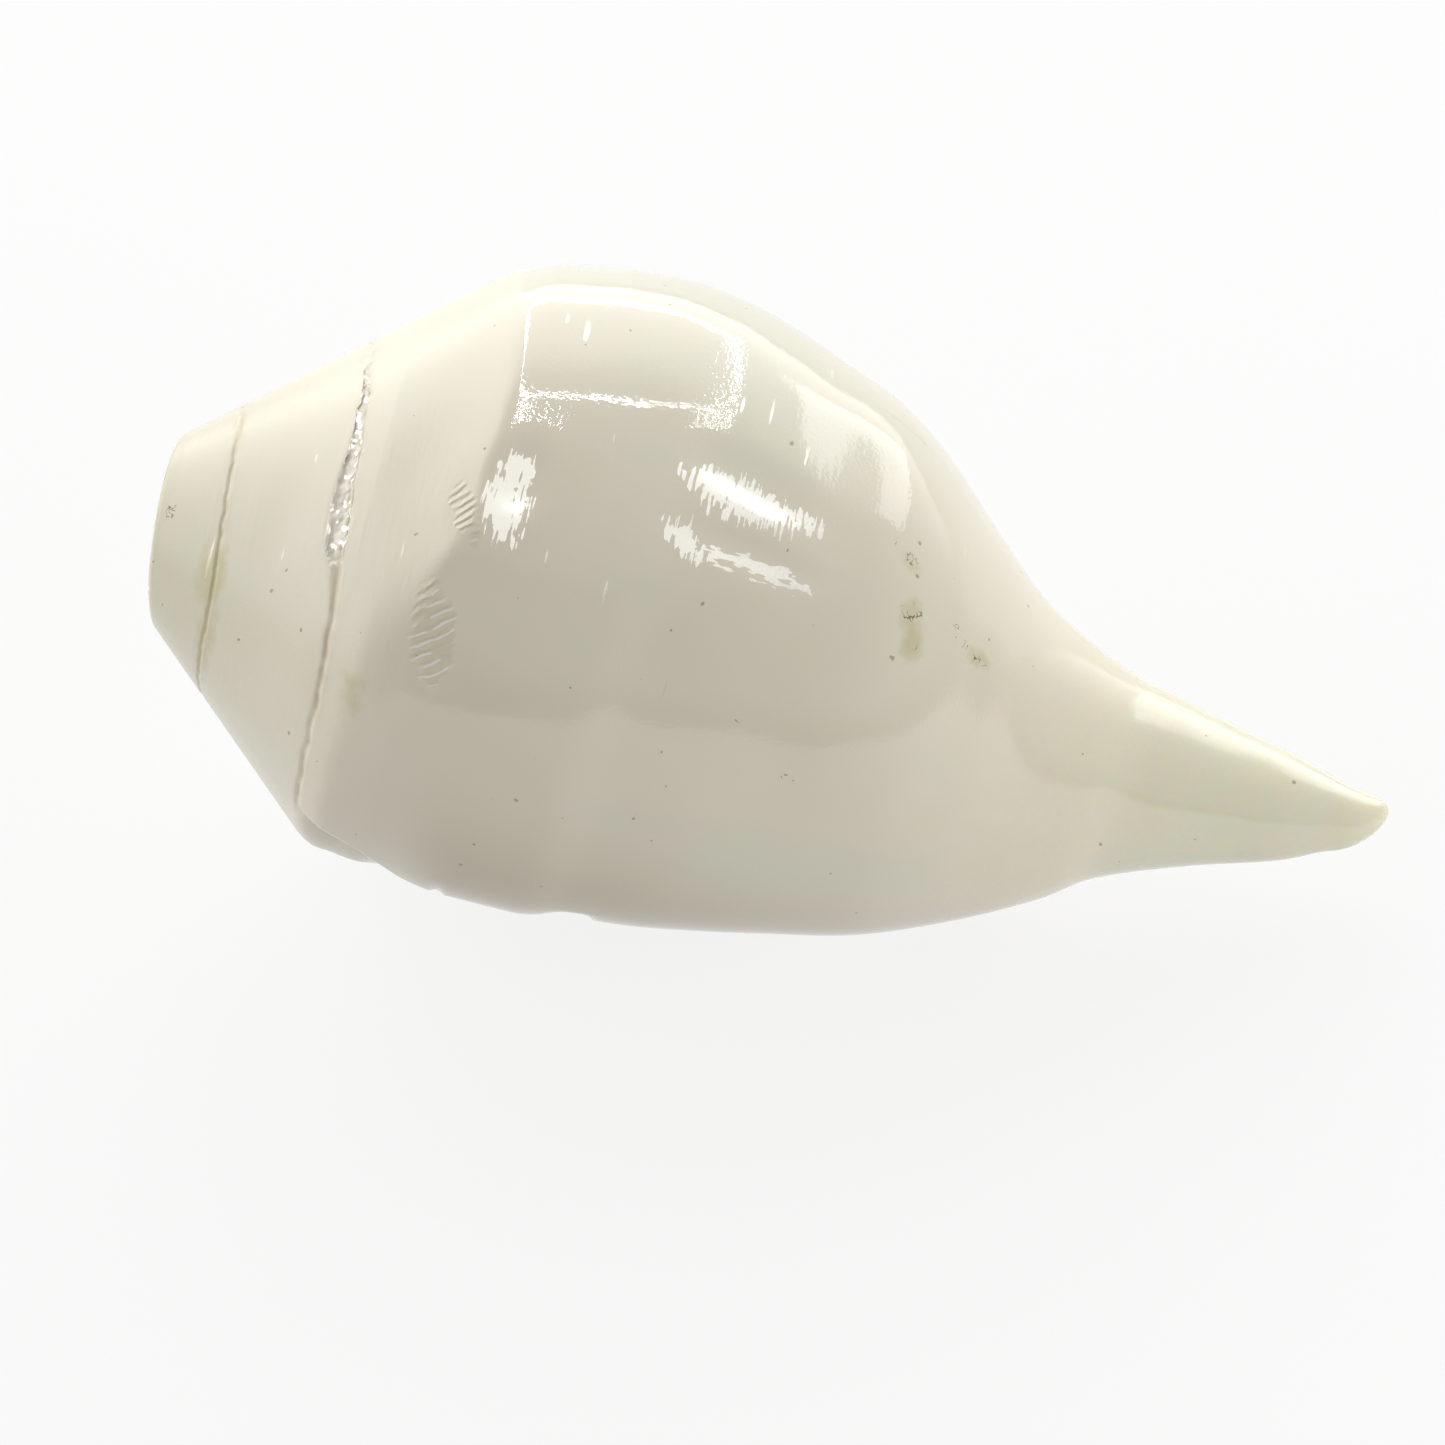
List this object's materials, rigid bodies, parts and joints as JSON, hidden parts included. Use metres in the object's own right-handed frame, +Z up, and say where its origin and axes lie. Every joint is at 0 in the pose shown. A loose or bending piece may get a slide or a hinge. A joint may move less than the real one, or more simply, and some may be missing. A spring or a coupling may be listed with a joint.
{
  "type": "blowing conch shell",
  "caption": "Polished white conch shell with the spire cut off flat and a blow hole in it, a spiral chamber and a long open canal; sounded by blowing with the lips.",
  "frame": {"origin": "bottom centre of the shell's box, on the floor it lies on", "axes": "+Z up, +X towards the tip of the canal, so the cut spire is at -X and the outer lip at -Y; the shell lies with its aperture down"},
  "size_m": [0.1458, 0.0752, 0.0731],
  "materials": {
    "polished_shell": "polished"
  },
  "bodies": {
    "root": {"shell": "polished_shell"}
  },
  "joints": []
}
